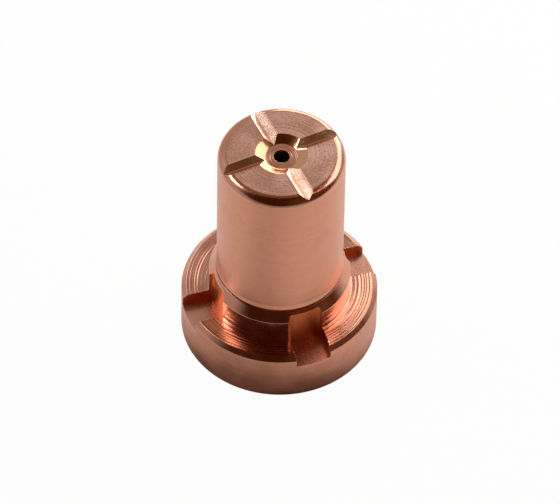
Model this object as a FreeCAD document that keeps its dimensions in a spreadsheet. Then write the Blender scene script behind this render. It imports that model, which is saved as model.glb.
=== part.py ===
"""Plasma torch nozzle: one piece of copper, turned and milled from bar.

The nozzle stands on its open end with the orifice up. The origin is the centre of the
annular seat face under the flange, +Z runs along the bore towards the nose, millimetres.

Made in the order of the real work:
    turning   flange, collar, relief under the barrel, barrel, rounded nose
    boring    diffuser seat, electrode chamber with its drilled cone
    drilling  orifice through the nose, with a shallow dish around its mouth
    milling   crossed V grooves over the face, gas slots through flange and collar
"""
import FreeCAD, Part
import os

import Sketcher

NODE = "nozzle"
SHEET = "sizes"

# alias, size in millimetres (degrees for angles), what it is
SIZES = [
    ("nozzle_height", 20.4, "seat face to nose face"),
    ("flange_diameter", 15.5, "flange, over the gas slots"),
    ("flange_height", 4.55, "seat face to the clamped face of the flange"),
    ("rim_chamfer", 0.35, "chamfer at the flange's upper rim"),
    ("foot_rounding", 0.25, "radius at the flange's lower rim"),
    ("collar_diameter", 11.2, "collar that centres the nozzle in the shield cup"),
    ("collar_height", 1.85, "clamped face to the collar's shoulder edge"),
    ("shoulder_height", 0.80, "rise of the collar's conical shoulder"),
    ("shoulder_top_diameter", 10.1, "shoulder where it meets the relief"),
    ("relief_width", 0.20, "tool relief between shoulder and barrel"),
    ("relief_depth", 0.18, "depth of the relief below the barrel's skin"),
    ("barrel_diameter", 9.96, "barrel"),
    ("lip_height", 0.35, "flared lip at the barrel's lower end"),
    ("lip_flare", 0.06, "how far the lip stands out from the barrel"),
    ("nose_rounding", 0.72, "radius between barrel and nose face"),
    ("seat_diameter", 11.5, "counterbore that seats the gas diffuser"),
    ("seat_depth", 2.2, "depth of the diffuser seat"),
    ("seat_chamfer", 0.3, "lead-in at the mouth of the diffuser seat"),
    ("chamber_diameter", 7.4, "electrode chamber"),
    ("chamber_chamfer", 0.35, "lead-in at the mouth of the electrode chamber"),
    ("chamber_cone_angle", 118.0, "included angle of the chamber's drilled end"),
    ("nose_wall", 2.6, "nose face to the orifice's inner end"),
    ("orifice_diameter", 1.27, "orifice that the arc leaves by"),
    ("dish_mouth_diameter", 4.1, "dish around the orifice, at the nose face"),
    ("dish_floor_diameter", 2.6, "flat floor of the dish"),
    ("dish_depth", 0.35, "nose face to the dish's floor"),
    ("groove_depth", 0.33, "V grooves, nose face to root"),
    ("groove_angle", 116.0, "included angle of the V grooves"),
    ("groove_azimuth", 26.5, "direction of the first V groove, from +X"),
    ("groove_offset", 0.2, "root of the first V groove to the nozzle axis"),
    ("slot_count", 4, "gas slots around the flange"),
    ("slot_width", 2.87, "wall to wall across a gas slot"),
    ("slot_offset", 0.52, "slot centre line to the nozzle axis, which gives the gas its swirl"),
    ("slot_depth", 1.0, "clamped face to slot floor"),
    ("slot_end_wall", 0.27, "metal left over the barrel's radius at a slot's inner end"),
    ("slot_corner_radius", 0.35, "radius of the cutter's corners at a slot's inner end"),
    ("slot_azimuth", -72.4, "direction of the first gas slot, from +X"),
    ("overrun", 0.5, "how far a cutter passes beyond the metal"),
]

# Outlines in the half plane through the axis: radius and height of each corner.
# Radii and heights that several corners share are written once here.
FLANGE_R = "sizes.flange_diameter / 2"
COLLAR_R = "sizes.collar_diameter / 2"
SHOULDER_R = "sizes.shoulder_top_diameter / 2"
BARREL_R = "sizes.barrel_diameter / 2"
RELIEF_R = BARREL_R + " - sizes.relief_depth"
LIP_R = BARREL_R + " + sizes.lip_flare"
FLANGE_Z = "sizes.flange_height"
SHOULDER_Z = FLANGE_Z + " + sizes.collar_height"
RELIEF_Z = SHOULDER_Z + " + sizes.shoulder_height"
LIP_Z = RELIEF_Z + " + sizes.relief_width"
BARREL_Z = LIP_Z + " + sizes.lip_height"
FACE_Z = "sizes.nozzle_height"
TURNED_OUTLINE = [
    ("0", "0"),
    (FLANGE_R, "0"),
    (FLANGE_R, FLANGE_Z),
    (COLLAR_R, FLANGE_Z),
    (COLLAR_R, SHOULDER_Z),
    (SHOULDER_R, RELIEF_Z),
    (RELIEF_R, RELIEF_Z),
    (RELIEF_R, LIP_Z),
    (LIP_R, LIP_Z),
    (BARREL_R, BARREL_Z),
    (BARREL_R, FACE_Z),
    ("0", FACE_Z),
]

SEAT_R = "sizes.seat_diameter / 2"
SEAT_Z = "sizes.seat_depth"
CHAMBER_R = "sizes.chamber_diameter / 2"
ORIFICE_R = "sizes.orifice_diameter / 2"
CONE_SLOPE = "tan(sizes.chamber_cone_angle / 2 * 1 deg)"
ORIFICE_Z = FACE_Z + " - sizes.nose_wall"
CONE_Z = f"{ORIFICE_Z} - ({CHAMBER_R} - {ORIFICE_R}) / {CONE_SLOPE}"
CONE_TIP_Z = f"{ORIFICE_Z} + {ORIFICE_R} / {CONE_SLOPE}"
CHAMBER_OUTLINE = [
    ("0", "0"),
    (SEAT_R + " + sizes.seat_chamfer", "0"),
    (SEAT_R, "sizes.seat_chamfer"),
    (SEAT_R, SEAT_Z),
    (CHAMBER_R + " + sizes.chamber_chamfer", SEAT_Z),
    (CHAMBER_R, SEAT_Z + " + sizes.chamber_chamfer"),
    (CHAMBER_R, CONE_Z),
    ("0", CONE_TIP_Z),
]

DISH_Z = FACE_Z + " - sizes.dish_depth"
DISH_OUTLINE = [
    ("0", DISH_Z),
    ("sizes.dish_floor_diameter / 2", DISH_Z),
    ("sizes.dish_mouth_diameter / 2", FACE_Z),
    ("0", FACE_Z),
]

GROOVE_HALF = "(sizes.groove_depth + sizes.overrun) * tan(sizes.groove_angle / 2 * 1 deg)"
GROOVE_ROOT_Z = FACE_Z + " - sizes.groove_depth"
GROOVE_TOP_Z = FACE_Z + " + sizes.overrun"

# Each pass of the V cutter over the face: name, direction, root's place across the face
GROOVE_PASSES = [
    ("first_groove", "sizes.groove_azimuth", "-1 * sizes.groove_offset"),
    ("cross_groove", "sizes.groove_azimuth + 90", "0"),
]

SLOT_FLOOR_Z = FLANGE_Z + " - sizes.slot_depth"
SLOT_END_R = BARREL_R + " + sizes.slot_end_wall"
SLOT_FAR_Y = "sizes.slot_offset + sizes.slot_width / 2"
SLOT_NEAR_Y = "sizes.slot_offset - sizes.slot_width / 2"
SLOT_OUTER_X = FLANGE_R + " + sizes.overrun"

# Sketcher's numbers for the points and axes that every sketch has
ROOT = -1
X_AXIS = -1
Y_AXIS = -2
START = 1
END = 2
CENTRE = 3


def make_sheet(doc):
    """Write the driving sizes into the document's spreadsheet."""
    sheet = doc.addObject("Spreadsheet::Sheet", SHEET)
    for row, (alias, size, meaning) in enumerate(SIZES, start=1):
        sheet.set(f"A{row}", alias)
        sheet.set(f"B{row}", str(size))
        sheet.set(f"C{row}", meaning)
        sheet.setAlias(f"B{row}", alias)
    doc.recompute()
    return sheet


def origin_part(body, role):
    """Return one of the body's own origin planes or axes."""
    return next(item for item in body.Origin.OriginFeatures if item.Role == role)


def make_sketch(body, name, plane, height=None, azimuth=None):
    """Attach a sketch to an origin plane, raised and turned about +Z by expressions."""
    sketch = body.newObject("Sketcher::SketchObject", name)
    sketch.AttachmentSupport = [(origin_part(body, plane), "")]
    sketch.MapMode = "FlatFace"
    if height is not None:
        sketch.setExpression("AttachmentOffset.Base.z", height)
    if azimuth is not None:
        upright = FreeCAD.Vector(0, 0, 1) if plane == "XY_Plane" else FreeCAD.Vector(0, 1, 0)
        sketch.AttachmentOffset = FreeCAD.Placement(FreeCAD.Vector(), FreeCAD.Rotation(upright, 1))
        sketch.setExpression("AttachmentOffset.Rotation.Angle", azimuth)
    return sketch


def number(sketch, expression):
    """Evaluate an expression as a plain number."""
    result = sketch.evalExpression(expression)
    return float(getattr(result, "Value", result))


def dimension(sketch, kind, geometry, expression):
    """Add a driving dimension, held to an expression."""
    index = sketch.addConstraint(Sketcher.Constraint(kind, *geometry, number(sketch, expression)))
    sketch.setExpression(f"Constraints[{index}]", expression)


def place_point(sketch, point, horizontal, vertical):
    """Dimension a point from the sketch's axes in both directions."""
    if horizontal == "0":
        sketch.addConstraint(Sketcher.Constraint("PointOnObject", *point, Y_AXIS))
    else:
        dimension(sketch, "DistanceX", (ROOT, START, *point), horizontal)
    if vertical == "0":
        sketch.addConstraint(Sketcher.Constraint("PointOnObject", *point, X_AXIS))
    else:
        dimension(sketch, "DistanceY", (ROOT, START, *point), vertical)


def draw_outline(sketch, corners):
    """Draw a closed outline of straight lines, every corner dimensioned."""
    spots = [FreeCAD.Vector(number(sketch, x), number(sketch, y), 0) for x, y in corners]
    count = len(spots)
    for i in range(count):
        sketch.addGeometry(Part.LineSegment(spots[i], spots[(i + 1) % count]))
    for i in range(count):
        sketch.addConstraint(Sketcher.Constraint("Coincident", i, END, (i + 1) % count, START))
    for i, (x, y) in enumerate(corners):
        place_point(sketch, (i, START), x, y)


def draw_circle(sketch, radius):
    """Draw a circle about the sketch's origin."""
    size = number(sketch, radius)
    circle = sketch.addGeometry(Part.Circle(FreeCAD.Vector(), FreeCAD.Vector(0, 0, 1), size))
    sketch.addConstraint(Sketcher.Constraint("Coincident", circle, CENTRE, ROOT, START))
    dimension(sketch, "Radius", (circle,), radius)


def arc(centre, radius, towards_start, towards_end):
    """Return the counter-clockwise arc between two directions seen from its centre."""
    axis = FreeCAD.Vector(0, 0, 1)
    angles = [FreeCAD.Vector(1, 0, 0).getAngle(v) * (1 if v.y >= 0 else -1)
              for v in (towards_start, towards_end)]
    return Part.ArcOfCircle(Part.Circle(centre, axis, radius), *angles)


def draw_slot(sketch):
    """Draw a gas slot along +X: parallel walls and an end wall concentric with the barrel.

    The end wall bulges into the slot, and a small radius joins it to each side wall.
    """
    end_radius = number(sketch, SLOT_END_R)
    corner = number(sketch, "sizes.slot_corner_radius")
    far = number(sketch, SLOT_FAR_Y)
    near = number(sketch, SLOT_NEAR_Y)
    outer = number(sketch, SLOT_OUTER_X)
    reach = end_radius + corner
    far_centre = FreeCAD.Vector((reach ** 2 - (far - corner) ** 2) ** 0.5, far - corner, 0)
    near_centre = FreeCAD.Vector((reach ** 2 - (near + corner) ** 2) ** 0.5, near + corner, 0)
    up = FreeCAD.Vector(0, 1, 0)
    down = FreeCAD.Vector(0, -1, 0)
    far_wall, far_arc, end_arc, near_arc, near_wall, mouth = sketch.addGeometry([
        Part.LineSegment(FreeCAD.Vector(outer, far, 0), FreeCAD.Vector(far_centre.x, far, 0)),
        arc(far_centre, corner, up, -far_centre),
        arc(FreeCAD.Vector(), end_radius, near_centre, far_centre),
        arc(near_centre, corner, -near_centre, down),
        Part.LineSegment(FreeCAD.Vector(near_centre.x, near, 0), FreeCAD.Vector(outer, near, 0)),
        Part.LineSegment(FreeCAD.Vector(outer, near, 0), FreeCAD.Vector(outer, far, 0)),
    ])
    sketch.addConstraint([
        Sketcher.Constraint("Tangent", far_wall, END, far_arc, START),
        Sketcher.Constraint("Tangent", far_arc, END, end_arc, END),
        Sketcher.Constraint("Tangent", end_arc, START, near_arc, START),
        Sketcher.Constraint("Tangent", near_arc, END, near_wall, START),
        Sketcher.Constraint("Coincident", near_wall, END, mouth, START),
        Sketcher.Constraint("Coincident", mouth, END, far_wall, START),
        Sketcher.Constraint("Horizontal", far_wall),
        Sketcher.Constraint("Horizontal", near_wall),
        Sketcher.Constraint("Vertical", mouth),
        Sketcher.Constraint("Coincident", end_arc, CENTRE, ROOT, START),
        Sketcher.Constraint("Equal", far_arc, near_arc),
    ])
    dimension(sketch, "Radius", (end_arc,), SLOT_END_R)
    dimension(sketch, "Radius", (far_arc,), "sizes.slot_corner_radius")
    dimension(sketch, "DistanceY", (ROOT, START, mouth, END), SLOT_FAR_Y)
    dimension(sketch, "DistanceY", (ROOT, START, mouth, START), SLOT_NEAR_Y)
    dimension(sketch, "DistanceX", (ROOT, START, mouth, END), SLOT_OUTER_X)


def rim_edges(feature, radius, height):
    """Name the circular edges of a feature at one radius and height."""
    names = []
    for i, edge in enumerate(feature.Shape.Edges, start=1):
        curve = edge.Curve
        if not isinstance(curve, Part.Circle):
            continue
        if abs(curve.Radius - radius) < 1e-6 and abs(curve.Center.z - height) < 1e-6:
            names.append(f"Edge{i}")
    if not names:
        raise RuntimeError(f"no edge of radius {radius} at height {height} on {feature.Name}")
    return names


def dress_rim(body, kind, name, base, place, size_property, size):
    """Round or chamfer the rim found at a radius and height of the base feature."""
    radius, height = (number(base, value) for value in place)
    feature = body.newObject(kind, name)
    feature.Base = (base, rim_edges(base, radius, height))
    feature.setExpression(size_property, size)
    body.Document.recompute()
    return feature


def turn(body, kind, name, sketch):
    """Revolve a sketch a full turn about the nozzle's axis, adding or cutting."""
    feature = body.newObject(kind, name)
    feature.Profile = sketch
    feature.ReferenceAxis = (sketch, ["V_Axis"])
    feature.Angle = 360
    sketch.Visibility = False
    body.Document.recompute()
    return feature


def repeat(body, name, feature, count, angle):
    """Repeat a cut around the nozzle's axis."""
    pattern = body.newObject("PartDesign::PolarPattern", name)
    pattern.Originals = [feature]
    pattern.Axis = (origin_part(body, "Z_Axis"), [""])
    pattern.Angle = angle
    pattern.setExpression("Occurrences", count)
    body.Tip = pattern
    body.Document.recompute()
    return pattern


def turn_outside(body):
    """Turn the flange, collar, relief, barrel and rounded nose."""
    sketch = make_sketch(body, "turned_outline", "XZ_Plane")
    draw_outline(sketch, TURNED_OUTLINE)
    blank = turn(body, "PartDesign::Revolution", "turned_blank", sketch)
    nose = dress_rim(body, "PartDesign::Fillet", "nose_radius", blank,
                     (BARREL_R, FACE_Z), "Radius", "sizes.nose_rounding")
    rim = dress_rim(body, "PartDesign::Chamfer", "flange_rim", nose,
                    (FLANGE_R, FLANGE_Z), "Size", "sizes.rim_chamfer")
    return dress_rim(body, "PartDesign::Fillet", "flange_foot", rim,
                     (FLANGE_R, "0"), "Radius", "sizes.foot_rounding")


def bore_chamber(body):
    """Bore the diffuser seat and the electrode chamber with its drilled cone."""
    sketch = make_sketch(body, "chamber_outline", "XZ_Plane")
    draw_outline(sketch, CHAMBER_OUTLINE)
    return turn(body, "PartDesign::Groove", "chamber", sketch)


def turn_dish(body):
    """Turn the shallow dish around the orifice's mouth."""
    sketch = make_sketch(body, "dish_outline", "XZ_Plane")
    draw_outline(sketch, DISH_OUTLINE)
    return turn(body, "PartDesign::Groove", "dish", sketch)


def drill_orifice(body):
    """Drill the orifice from the nose face down into the chamber."""
    sketch = make_sketch(body, "orifice_circle", "XY_Plane", height=FACE_Z)
    draw_circle(sketch, ORIFICE_R)
    body.Document.recompute()
    hole = body.newObject("PartDesign::Hole", "orifice")
    hole.Profile = sketch
    hole.DepthType = "ThroughAll"
    hole.setExpression("Diameter", "sizes.orifice_diameter")
    sketch.Visibility = False
    body.Document.recompute()
    return hole


def mill_grooves(body):
    """Mill the two V grooves straight over the face, at right angles to each other."""
    for name, direction, root in GROOVE_PASSES:
        sketch = make_sketch(body, f"{name}_outline", "XZ_Plane",
                             azimuth=f"({direction} - 90) * 1 deg")
        draw_outline(sketch, [
            (root, GROOVE_ROOT_Z),
            (f"{root} + {GROOVE_HALF}", GROOVE_TOP_Z),
            (f"{root} - {GROOVE_HALF}", GROOVE_TOP_Z),
        ])
        groove = body.newObject("PartDesign::Pocket", name)
        groove.Profile = sketch
        groove.Type = "ThroughAll"
        groove.SideType = "Symmetric"
        sketch.Visibility = False
        body.Document.recompute()
    return groove


def mill_slots(body):
    """Mill the offset gas slots in from the rim, through the flange's top and the collar."""
    sketch = make_sketch(body, "slot_outline", "XY_Plane", height=SLOT_FLOOR_Z,
                         azimuth="sizes.slot_azimuth * 1 deg")
    body.Document.recompute()
    draw_slot(sketch)
    slot = body.newObject("PartDesign::Pocket", "gas_slot")
    slot.Profile = sketch
    slot.Type = "ThroughAll"
    slot.Reversed = True
    sketch.Visibility = False
    body.Document.recompute()
    return repeat(body, "gas_slots", slot, "sizes.slot_count", 360)


def check_document(doc):
    """Stop if any object failed or any sketch is left free to move."""
    doc.recompute()
    for item in doc.Objects:
        if "Invalid" in item.State or "Error" in item.State:
            raise RuntimeError(f"{item.Name} failed: {item.State}")
        if item.isDerivedFrom("Sketcher::SketchObject") and item.solve() != 0:
            raise RuntimeError(f"{item.Name} does not solve")


def make_nozzle(doc):
    """Build the nozzle and stop if a cut misses the metal."""
    body = doc.addObject("PartDesign::Body", NODE)
    body.Label = NODE
    body.Placement = FreeCAD.Placement()
    volume = turn_outside(body).Shape.Volume
    for cut in (bore_chamber, turn_dish, drill_orifice, mill_grooves, mill_slots):
        feature = cut(body)
        if feature.Shape.Volume > volume - 0.01:
            raise RuntimeError(f"{feature.Name} cut nothing")
        volume = feature.Shape.Volume
    return body


def main():
    """Build the document, check it and write the nozzle."""
    doc = FreeCAD.newDocument("plasma_torch_nozzle")
    make_sheet(doc)
    body = make_nozzle(doc)
    check_document(doc)
    shape = body.Shape
    if shape.isNull() or not shape.isValid() or len(shape.Solids) != 1:
        raise RuntimeError("the nozzle is not one valid solid")
    os.makedirs("parts", exist_ok=True)
    shape.exportStep(f"parts/{body.Label}.step")
    print(f"{body.Label}: {shape.Volume:.2f} mm3, {len(shape.Faces)} faces, {shape.BoundBox}")


main()
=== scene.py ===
"""Plasma torch nozzle: one turned and milled piece of copper, finished and lit.

The nozzle's skin is built ring by ring in the order of its profile. The V grooves of the
nose and the gas slots of the flange run along lines of the mesh, every edge has its small
deburred round, and the tool marks of the faced surfaces are real scallops in the metal.
Lengths are millimetres until a mesh is made, and metres from there on.
"""

import logging
import math
from dataclasses import dataclass, field
from enum import Enum
from typing import Callable, Dict, List, Optional, Sequence, Tuple

import bpy
import numpy as np
from mathutils import Matrix, Vector

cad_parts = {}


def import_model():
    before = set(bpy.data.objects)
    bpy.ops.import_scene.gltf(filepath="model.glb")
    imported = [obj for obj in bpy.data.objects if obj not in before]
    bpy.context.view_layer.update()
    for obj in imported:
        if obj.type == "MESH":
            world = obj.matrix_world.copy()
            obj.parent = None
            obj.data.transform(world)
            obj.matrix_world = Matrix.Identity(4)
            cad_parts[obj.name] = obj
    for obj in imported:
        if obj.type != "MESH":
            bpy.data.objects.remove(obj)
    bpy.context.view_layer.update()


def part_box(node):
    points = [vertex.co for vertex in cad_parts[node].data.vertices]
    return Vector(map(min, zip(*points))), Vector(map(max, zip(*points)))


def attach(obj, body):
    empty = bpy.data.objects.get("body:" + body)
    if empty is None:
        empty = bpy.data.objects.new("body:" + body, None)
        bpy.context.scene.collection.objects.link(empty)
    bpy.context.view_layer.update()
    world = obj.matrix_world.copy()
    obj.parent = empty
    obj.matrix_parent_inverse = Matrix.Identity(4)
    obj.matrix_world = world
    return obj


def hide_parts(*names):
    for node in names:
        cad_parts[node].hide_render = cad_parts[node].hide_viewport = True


LOG = logging.getLogger("nozzle")
MM = 0.001
WELD_STEPS = 1e5  # places to the millimetre: points in the same one are welded

Colour = Tuple[float, float, float]
Point2 = Tuple[float, float]


# --------------------------------------------------------------------------- finishes

class Surface(Enum):
    """The differently finished surfaces of the nozzle, in the order of its materials."""

    FACE = "copper_face_turned"
    NOSE_ROUND = "copper_nose_round"
    DISH_FLOOR = "copper_dish_floor"
    DISH = "copper_dish_turned"
    BORE = "copper_bored"
    BARREL = "copper_barrel_satin"
    COLLAR = "copper_collar_turned"
    FLANGE_TOP = "copper_flange_faced"
    FLANGE_RIM = "copper_flange_rim"
    FLANGE_WALL = "copper_flange_wall"
    SLOT_WALL = "copper_slot_wall"
    SLOT_FLOOR = "copper_slot_floor"
    GROOVE = "copper_groove_milled"
    SEAT = "copper_seat_faced"


class Lay(Enum):
    """Direction in which a cutter leaves its marks."""

    AROUND = "around the axis"
    UPRIGHT = "up and down the walls"


@dataclass(frozen=True)
class CopperFinish:
    """One finish of bare copper: its tones, its gloss and the marks of its cutter."""

    surface: Surface
    bright: Colour = (0.86, 0.45, 0.33)
    deep: Colour = (0.74, 0.34, 0.22)
    roughness: float = 0.24
    roughness_spread: float = 0.08
    lay: Lay = Lay.AROUND
    mark_pitch: float = 0.10
    mark_height: float = 0.0016
    grain_size: float = 0.14
    grain_height: float = 0.0008
    blotch_size: float = 1.6
    # Painted highlight along the convex edges, lighter like rubbed copper: its strength and its
    # tone.
    edge_light_and_wear_strength: float = 0.75
    light_and_wear: Colour = (0.97, 0.66, 0.52)

    def material(self) -> bpy.types.Material:
        """Build the node material of this finish.

        Returns:
            The finished material, named after the surface.
        """
        material = bpy.data.materials.new(self.surface.value)
        material.use_nodes = True
        tree = NodeBench(material.node_tree)
        tree.clear()
        shader = tree.add("ShaderNodeBsdfPrincipled")
        shader.inputs["Metallic"].default_value = 1.0
        output = tree.add("ShaderNodeOutputMaterial")
        tree.link(shader.outputs["BSDF"], output.inputs["Surface"])

        place = tree.millimetres()
        blotch = tree.noise(place, 1.0 / self.blotch_size, detail=3.0)
        grain = tree.noise(place, 1.0 / self.grain_size, detail=2.0)
        marks = self._marks(tree, place)

        tone = tree.mix_numbers(tree.contrast(blotch, 0.32, 0.68),
                                tree.contrast(marks, 0.25, 0.75), 0.4)
        skin = tree.mix_colours(self.deep, self.bright, tone)
        # Painted highlight on the convex edges, partly rubbed wear: the skin turns lighter there.
        edge = tree.attribute("edge_light_and_wear")
        light_and_wear = tree.multiply(edge, self.edge_light_and_wear_strength)
        skin_with_lit_worn_edges = tree.mix_colours(skin, self.light_and_wear, light_and_wear)
        tree.link(skin_with_lit_worn_edges, shader.inputs["Base Color"])

        low = self.roughness - self.roughness_spread
        high = self.roughness + self.roughness_spread
        gloss = tree.map_range(tree.mix_numbers(grain, blotch, 0.5), 0.3, 0.7, low, high)
        tree.link(gloss, shader.inputs["Roughness"])

        rough = tree.bump(grain, self.grain_height)
        normal = tree.bump(marks, self.mark_height, rough)
        tree.link(normal, shader.inputs["Normal"])
        return material

    def _marks(self, tree: "NodeBench", place: bpy.types.NodeSocket) -> bpy.types.NodeSocket:
        """Fine lines left by the cutter.

        Args:
            tree: The node bench the lines are made on.
            place: Position in millimetres.

        Returns:
            A value around one half that runs along the lay.
        """
        fine = 1.0 / self.mark_pitch
        if self.lay is Lay.AROUND:
            return tree.noise_around(place, fine, 0.12)
        return tree.noise(tree.scale(place, (fine, fine, fine * 0.04)), 1.0, detail=2.0)


class NodeBench:
    """Small helpers to lay out and join shader nodes."""

    def __init__(self, tree: bpy.types.NodeTree) -> None:
        """Take the node tree to work on."""
        self.tree = tree

    def clear(self) -> None:
        """Remove the nodes a new tree starts with."""
        self.tree.nodes.clear()

    def add(self, kind: str) -> bpy.types.Node:
        """Add a node of one kind."""
        return self.tree.nodes.new(kind)

    def link(self, source: bpy.types.NodeSocket, target: bpy.types.NodeSocket) -> None:
        """Join two sockets."""
        self.tree.links.new(source, target)

    def feed(self, target: bpy.types.NodeSocket, value: object) -> None:
        """Give a socket a link or a plain value.

        Args:
            target: The socket.
            value: A socket to link, a colour or a number.
        """
        if isinstance(value, bpy.types.NodeSocket):
            self.link(value, target)
        elif isinstance(value, tuple) and target.type == "RGBA":
            target.default_value = (*value, 1.0)
        else:
            target.default_value = value

    def math(self, operation: str, *values: object) -> bpy.types.NodeSocket:
        """Add a Math node.

        Args:
            operation: Blender's name of the operation.
            values: One to three numbers or sockets.

        Returns:
            The result's socket.
        """
        node = self.add("ShaderNodeMath")
        node.operation = operation
        for socket, value in zip(node.inputs, values):
            self.feed(socket, value)
        return node.outputs[0]

    def multiply(self, a: object, b: object) -> bpy.types.NodeSocket:
        """Multiply two numbers."""
        return self.math("MULTIPLY", a, b)

    def millimetres(self) -> bpy.types.NodeSocket:
        """Position on the piece in millimetres."""
        return self.scale(self.add("ShaderNodeTexCoord").outputs["Object"],
                          (1 / MM, 1 / MM, 1 / MM))

    def scale(self, vector: bpy.types.NodeSocket, by: Colour) -> bpy.types.NodeSocket:
        """Multiply a vector by three factors.

        Args:
            vector: The vector.
            by: The factor of each axis.

        Returns:
            The scaled vector.
        """
        node = self.add("ShaderNodeVectorMath")
        node.operation = "MULTIPLY"
        self.link(vector, node.inputs[0])
        node.inputs[1].default_value = by
        return node.outputs[0]

    def noise(self, vector: bpy.types.NodeSocket, scale: float,
              detail: float = 2.0) -> bpy.types.NodeSocket:
        """Plain noise.

        Args:
            vector: Where it is read.
            scale: Features to the unit.
            detail: Octaves of finer detail.

        Returns:
            A value around one half.
        """
        node = self.add("ShaderNodeTexNoise")
        node.inputs["Scale"].default_value = scale
        node.inputs["Detail"].default_value = detail
        self.link(vector, node.inputs["Vector"])
        return node.outputs["Fac"]

    def noise_around(self, place: bpy.types.NodeSocket, across: float,
                     along: float) -> bpy.types.NodeSocket:
        """Noise drawn out into rings about the nozzle's axis.

        Args:
            place: Position in millimetres.
            across: Features to the millimetre across the rings.
            along: Features to the millimetre along them.

        Returns:
            A value around one half.
        """
        split = self.add("ShaderNodeSeparateXYZ")
        self.link(place, split.inputs[0])
        x, y, z = split.outputs
        radius = self.math("SQRT", self.math("ADD", self.multiply(x, x), self.multiply(y, y)))
        joined = self.add("ShaderNodeCombineXYZ")
        self.link(self.multiply(radius, across), joined.inputs[0])
        self.link(self.multiply(z, across), joined.inputs[1])
        self.link(self.multiply(x, along), joined.inputs[2])
        node = self.add("ShaderNodeTexNoise")
        node.noise_dimensions = "4D"
        node.inputs["Scale"].default_value = 1.0
        node.inputs["Detail"].default_value = 2.0
        self.link(joined.outputs[0], node.inputs["Vector"])
        self.link(self.multiply(y, along), node.inputs["W"])
        return node.outputs["Fac"]

    def map_range(self, value: bpy.types.NodeSocket, low: float, high: float,
                  to_low: float, to_high: float) -> bpy.types.NodeSocket:
        """Map a value from one range to another, clamped and smoothed.

        Args:
            value: The value.
            low: Its start.
            high: Its end.
            to_low: Result at the start.
            to_high: Result at the end.

        Returns:
            The mapped value.
        """
        node = self.add("ShaderNodeMapRange")
        node.interpolation_type = "SMOOTHSTEP"
        self.link(value, node.inputs["Value"])
        for name, number in zip(("From Min", "From Max", "To Min", "To Max"),
                                (low, high, to_low, to_high)):
            node.inputs[name].default_value = number
        return node.outputs["Result"]

    def contrast(self, value: bpy.types.NodeSocket, low: float,
                 high: float) -> bpy.types.NodeSocket:
        """Stretch a value to run from nought to one."""
        return self.map_range(value, low, high, 0.0, 1.0)

    def mix_numbers(self, a: object, b: object, share: object) -> bpy.types.NodeSocket:
        """Blend two numbers.

        Args:
            a: The first.
            b: The second.
            share: How much of the second.

        Returns:
            The blend.
        """
        node = self.add("ShaderNodeMix")
        node.data_type = "FLOAT"
        for index, value in enumerate((share, None, a, b)):
            if value is not None:
                self.feed(node.inputs[index], value)
        return node.outputs[0]

    def mix_colours(self, a: object, b: object, share: object) -> bpy.types.NodeSocket:
        """Blend two colours.

        Args:
            a: The first.
            b: The second.
            share: How much of the second.

        Returns:
            The blend.
        """
        node = self.add("ShaderNodeMix")
        node.data_type = "RGBA"
        self.feed(node.inputs[0], share)
        self.feed(node.inputs[6], a)
        self.feed(node.inputs[7], b)
        return node.outputs[2]

    def attribute(self, name: str) -> bpy.types.NodeSocket:
        """Read a number stored on the mesh.

        Args:
            name: Name of the attribute.

        Returns:
            Its value.
        """
        node = self.add("ShaderNodeAttribute")
        node.attribute_name = name
        return node.outputs["Fac"]

    def bump(self, height: bpy.types.NodeSocket, millimetres: float,
             under: Optional[bpy.types.NodeSocket] = None) -> bpy.types.NodeSocket:
        """Raise the surface by a height map.

        Args:
            height: The height map, from nought to one.
            millimetres: What a height of one stands for.
            under: The normal of a bump beneath this one.

        Returns:
            The bumped normal.
        """
        node = self.add("ShaderNodeBump")
        node.inputs["Strength"].default_value = 1.0
        node.inputs["Distance"].default_value = millimetres * MM
        self.link(height, node.inputs["Height"])
        if under is not None:
            self.link(under, node.inputs["Normal"])
        return node.outputs["Normal"]


FINISHES: Dict[Surface, CopperFinish] = {
    finish.surface: finish
    for finish in (
        CopperFinish(Surface.FACE, bright=(0.98, 0.62, 0.50), deep=(0.84, 0.44, 0.33),
                     roughness=0.28, mark_height=0.003, grain_size=0.20, grain_height=0.005),
        CopperFinish(Surface.NOSE_ROUND, roughness=0.16, mark_height=0.0006),
        CopperFinish(Surface.DISH_FLOOR, roughness=0.15, mark_height=0.0006),
        CopperFinish(Surface.DISH, bright=(0.92, 0.50, 0.30), deep=(0.82, 0.40, 0.20),
                     roughness=0.12, mark_height=0.0006),
        CopperFinish(Surface.BORE, roughness=0.30),
        CopperFinish(Surface.BARREL, bright=(0.86, 0.42, 0.28), deep=(0.77, 0.35, 0.225),
                     roughness=0.34, mark_height=0.0008),
        CopperFinish(Surface.COLLAR, roughness=0.16, mark_height=0.0014),
        CopperFinish(Surface.FLANGE_TOP, bright=(0.88, 0.48, 0.36), deep=(0.66, 0.29, 0.18),
                     roughness=0.13, mark_height=0.0012, grain_height=0.0004),
        CopperFinish(Surface.FLANGE_RIM, roughness=0.22),
        CopperFinish(Surface.FLANGE_WALL, bright=(0.84, 0.41, 0.28), deep=(0.70, 0.31, 0.20),
                     roughness=0.34, mark_pitch=0.22, mark_height=0.005),
        # Slot walls: tones redder and darker than the rest of the copper, painted bounce light
        # and shade inside the slots.
        CopperFinish(Surface.SLOT_WALL, bright=(0.92, 0.32, 0.12), deep=(0.76, 0.20, 0.06),
                     lay=Lay.UPRIGHT, roughness=0.42, mark_height=0.006),
        CopperFinish(Surface.SLOT_FLOOR, bright=(0.97, 0.58, 0.46), deep=(0.82, 0.40, 0.28),
                     lay=Lay.UPRIGHT, roughness=0.30, mark_height=0.003),
        # Grooves: tones lighter than bare copper, a painted highlight on the groove walls.
        CopperFinish(Surface.GROOVE, bright=(0.99, 0.70, 0.57), deep=(0.94, 0.60, 0.46),
                     roughness=0.2, mark_height=0.0006),
        CopperFinish(Surface.SEAT, roughness=0.28),
    )
}


# ----------------------------------------------------------------------- mesh building

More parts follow.
